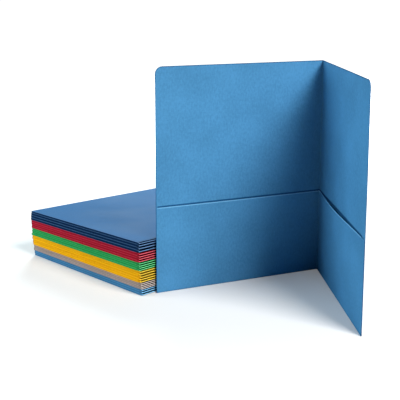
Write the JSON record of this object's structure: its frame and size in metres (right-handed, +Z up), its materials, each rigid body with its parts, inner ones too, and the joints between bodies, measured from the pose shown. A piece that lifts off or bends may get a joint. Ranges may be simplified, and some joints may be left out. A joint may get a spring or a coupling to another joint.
{
  "type": "two-pocket folder set",
  "caption": "Pile of closed two-pocket card folders in plain colours, with a matching folder standing open beside it on its pocket end.",
  "frame": {"origin": "under the middle of the whole set, on the surface it stands on", "axes": "+Z up; +Y along the pile's spines from the pocket end to the top edge; +X across the pile towards the spines and the standing folder"},
  "size_m": [0.5146, 0.2972, 0.2921],
  "materials": {
    "light_blue_card": "uncoated, faintly felt-marked card, matt",
    "grey_card": "uncoated, faintly felt-marked card, matt",
    "yellow_card": "uncoated, faintly felt-marked card, matt",
    "green_card": "uncoated, faintly felt-marked card, matt",
    "red_card": "uncoated, faintly felt-marked card, matt",
    "navy_card": "uncoated, faintly felt-marked card, matt"
  },
  "bodies": {
    "light_blue_1": {"light_blue_1_back_leaf": "light_blue_card", "light_blue_1_front_leaf": "light_blue_card"},
    "light_blue_2": {"light_blue_2_back_leaf": "light_blue_card", "light_blue_2_front_leaf": "light_blue_card"},
    "light_blue_3": {"light_blue_3_back_leaf": "light_blue_card", "light_blue_3_front_leaf": "light_blue_card"},
    "grey_1": {"grey_1_back_leaf": "grey_card", "grey_1_front_leaf": "grey_card"},
    "grey_2": {"grey_2_back_leaf": "grey_card", "grey_2_front_leaf": "grey_card"},
    "grey_3": {"grey_3_back_leaf": "grey_card", "grey_3_front_leaf": "grey_card"},
    "grey_4": {"grey_4_back_leaf": "grey_card", "grey_4_front_leaf": "grey_card"},
    "yellow_1": {"yellow_1_back_leaf": "yellow_card", "yellow_1_front_leaf": "yellow_card"},
    "yellow_2": {"yellow_2_back_leaf": "yellow_card", "yellow_2_front_leaf": "yellow_card"},
    "yellow_3": {"yellow_3_back_leaf": "yellow_card", "yellow_3_front_leaf": "yellow_card"},
    "yellow_4": {"yellow_4_back_leaf": "yellow_card", "yellow_4_front_leaf": "yellow_card"},
    "yellow_5": {"yellow_5_back_leaf": "yellow_card", "yellow_5_front_leaf": "yellow_card"},
    "green_1": {"green_1_back_leaf": "green_card", "green_1_front_leaf": "green_card"},
    "green_2": {"green_2_back_leaf": "green_card", "green_2_front_leaf": "green_card"},
    "green_3": {"green_3_back_leaf": "green_card", "green_3_front_leaf": "green_card"},
    "green_4": {"green_4_back_leaf": "green_card", "green_4_front_leaf": "green_card"},
    "red_1": {"red_1_back_leaf": "red_card", "red_1_front_leaf": "red_card"},
    "red_2": {"red_2_back_leaf": "red_card", "red_2_front_leaf": "red_card"},
    "red_3": {"red_3_back_leaf": "red_card", "red_3_front_leaf": "red_card"},
    "red_4": {"red_4_back_leaf": "red_card", "red_4_front_leaf": "red_card"},
    "navy_1": {"navy_1_back_leaf": "navy_card", "navy_1_front_leaf": "navy_card"},
    "navy_2": {"navy_2_back_leaf": "navy_card", "navy_2_front_leaf": "navy_card"},
    "navy_3": {"navy_3_back_leaf": "navy_card", "navy_3_front_leaf": "navy_card"},
    "navy_4": {"navy_4_back_leaf": "navy_card"},
    "navy_4_cover": {"navy_4_front_leaf": "navy_card"},
    "standing_left": {"standing_left_leaf": "light_blue_card", "standing_left_pocket": "light_blue_card"},
    "standing_right": {"standing_right_leaf": "light_blue_card", "standing_right_pocket": "light_blue_card"}
  },
  "joints": [
    {"name": "slide_light_blue_2", "type": "slide", "parent": "light_blue_1", "child": "light_blue_2", "axis": [-1, 0, -0.0012], "range_m": [0, 0.255]},
    {"name": "slide_light_blue_3", "type": "slide", "parent": "light_blue_1", "child": "light_blue_3", "axis": [-1, 0, -0.002], "range_m": [0, 0.255]},
    {"name": "slide_grey_1", "type": "slide", "parent": "light_blue_1", "child": "grey_1", "axis": [-1, 0, -0.0027], "range_m": [0, 0.255]},
    {"name": "slide_grey_2", "type": "slide", "parent": "light_blue_1", "child": "grey_2", "axis": [-1, 0, -0.0032], "range_m": [0, 0.255]},
    {"name": "slide_grey_3", "type": "slide", "parent": "light_blue_1", "child": "grey_3", "axis": [-1, 0, -0.0038], "range_m": [0, 0.255]},
    {"name": "slide_grey_4", "type": "slide", "parent": "light_blue_1", "child": "grey_4", "axis": [-1, 0, -0.0044], "range_m": [0, 0.255]},
    {"name": "slide_yellow_1", "type": "slide", "parent": "light_blue_1", "child": "yellow_1", "axis": [-1, 0, -0.0051], "range_m": [0, 0.255]},
    {"name": "slide_yellow_2", "type": "slide", "parent": "light_blue_1", "child": "yellow_2", "axis": [-1, 0, -0.006], "range_m": [0, 0.255]},
    {"name": "slide_yellow_3", "type": "slide", "parent": "light_blue_1", "child": "yellow_3", "axis": [-1, 0, -0.0069], "range_m": [0, 0.255]},
    {"name": "slide_yellow_4", "type": "slide", "parent": "light_blue_1", "child": "yellow_4", "axis": [-1, 0, -0.0077], "range_m": [0, 0.255]},
    {"name": "slide_yellow_5", "type": "slide", "parent": "light_blue_1", "child": "yellow_5", "axis": [-1, 0, -0.0086], "range_m": [0, 0.255]},
    {"name": "slide_green_1", "type": "slide", "parent": "light_blue_1", "child": "green_1", "axis": [-1, 0, -0.0094], "range_m": [0, 0.255]},
    {"name": "slide_green_2", "type": "slide", "parent": "light_blue_1", "child": "green_2", "axis": [-0.9999, 0, -0.0101], "range_m": [0, 0.255]},
    {"name": "slide_green_3", "type": "slide", "parent": "light_blue_1", "child": "green_3", "axis": [-0.9999, 0, -0.0109], "range_m": [0, 0.255]},
    {"name": "slide_green_4", "type": "slide", "parent": "light_blue_1", "child": "green_4", "axis": [-0.9999, 0, -0.0116], "range_m": [0, 0.255]},
    {"name": "slide_red_1", "type": "slide", "parent": "light_blue_1", "child": "red_1", "axis": [-0.9999, 0, -0.0124], "range_m": [0, 0.255]},
    {"name": "slide_red_2", "type": "slide", "parent": "light_blue_1", "child": "red_2", "axis": [-0.9999, 0, -0.0133], "range_m": [0, 0.255]},
    {"name": "slide_red_3", "type": "slide", "parent": "light_blue_1", "child": "red_3", "axis": [-0.9999, 0, -0.0141], "range_m": [0, 0.255]},
    {"name": "slide_red_4", "type": "slide", "parent": "light_blue_1", "child": "red_4", "axis": [-0.9999, 0, -0.015], "range_m": [0, 0.255]},
    {"name": "slide_navy_1", "type": "slide", "parent": "light_blue_1", "child": "navy_1", "axis": [-0.9999, 0, -0.0159], "range_m": [0, 0.255]},
    {"name": "slide_navy_2", "type": "slide", "parent": "light_blue_1", "child": "navy_2", "axis": [-0.9999, 0, -0.0169], "range_m": [0, 0.255]},
    {"name": "slide_navy_3", "type": "slide", "parent": "light_blue_1", "child": "navy_3", "axis": [-0.9998, 0, -0.018], "range_m": [0, 0.255]},
    {"name": "slide_navy_4", "type": "slide", "parent": "light_blue_1", "child": "navy_4", "axis": [-0.9998, 0, -0.0189], "range_m": [0, 0.255]},
    {"name": "cover_hinge_navy_4", "type": "hinge", "parent": "navy_4", "child": "navy_4_cover", "pos_m": [-0.01611, -0.14801, 0.07072], "axis": [0.0015, 0.9998, -0.0197], "range_deg": [0, 85]},
    {"name": "lift_standing_folder", "type": "slide", "parent": "light_blue_1", "child": "standing_left", "axis": [0, 0, 1], "range_m": [0, 0.3]},
    {"name": "cover_hinge_standing", "type": "hinge", "parent": "standing_left", "child": "standing_right", "pos_m": [0.0716, 0.10247, 0], "axis": [0, 0, 1], "range_deg": [-66.6, 109.4]}
  ]
}
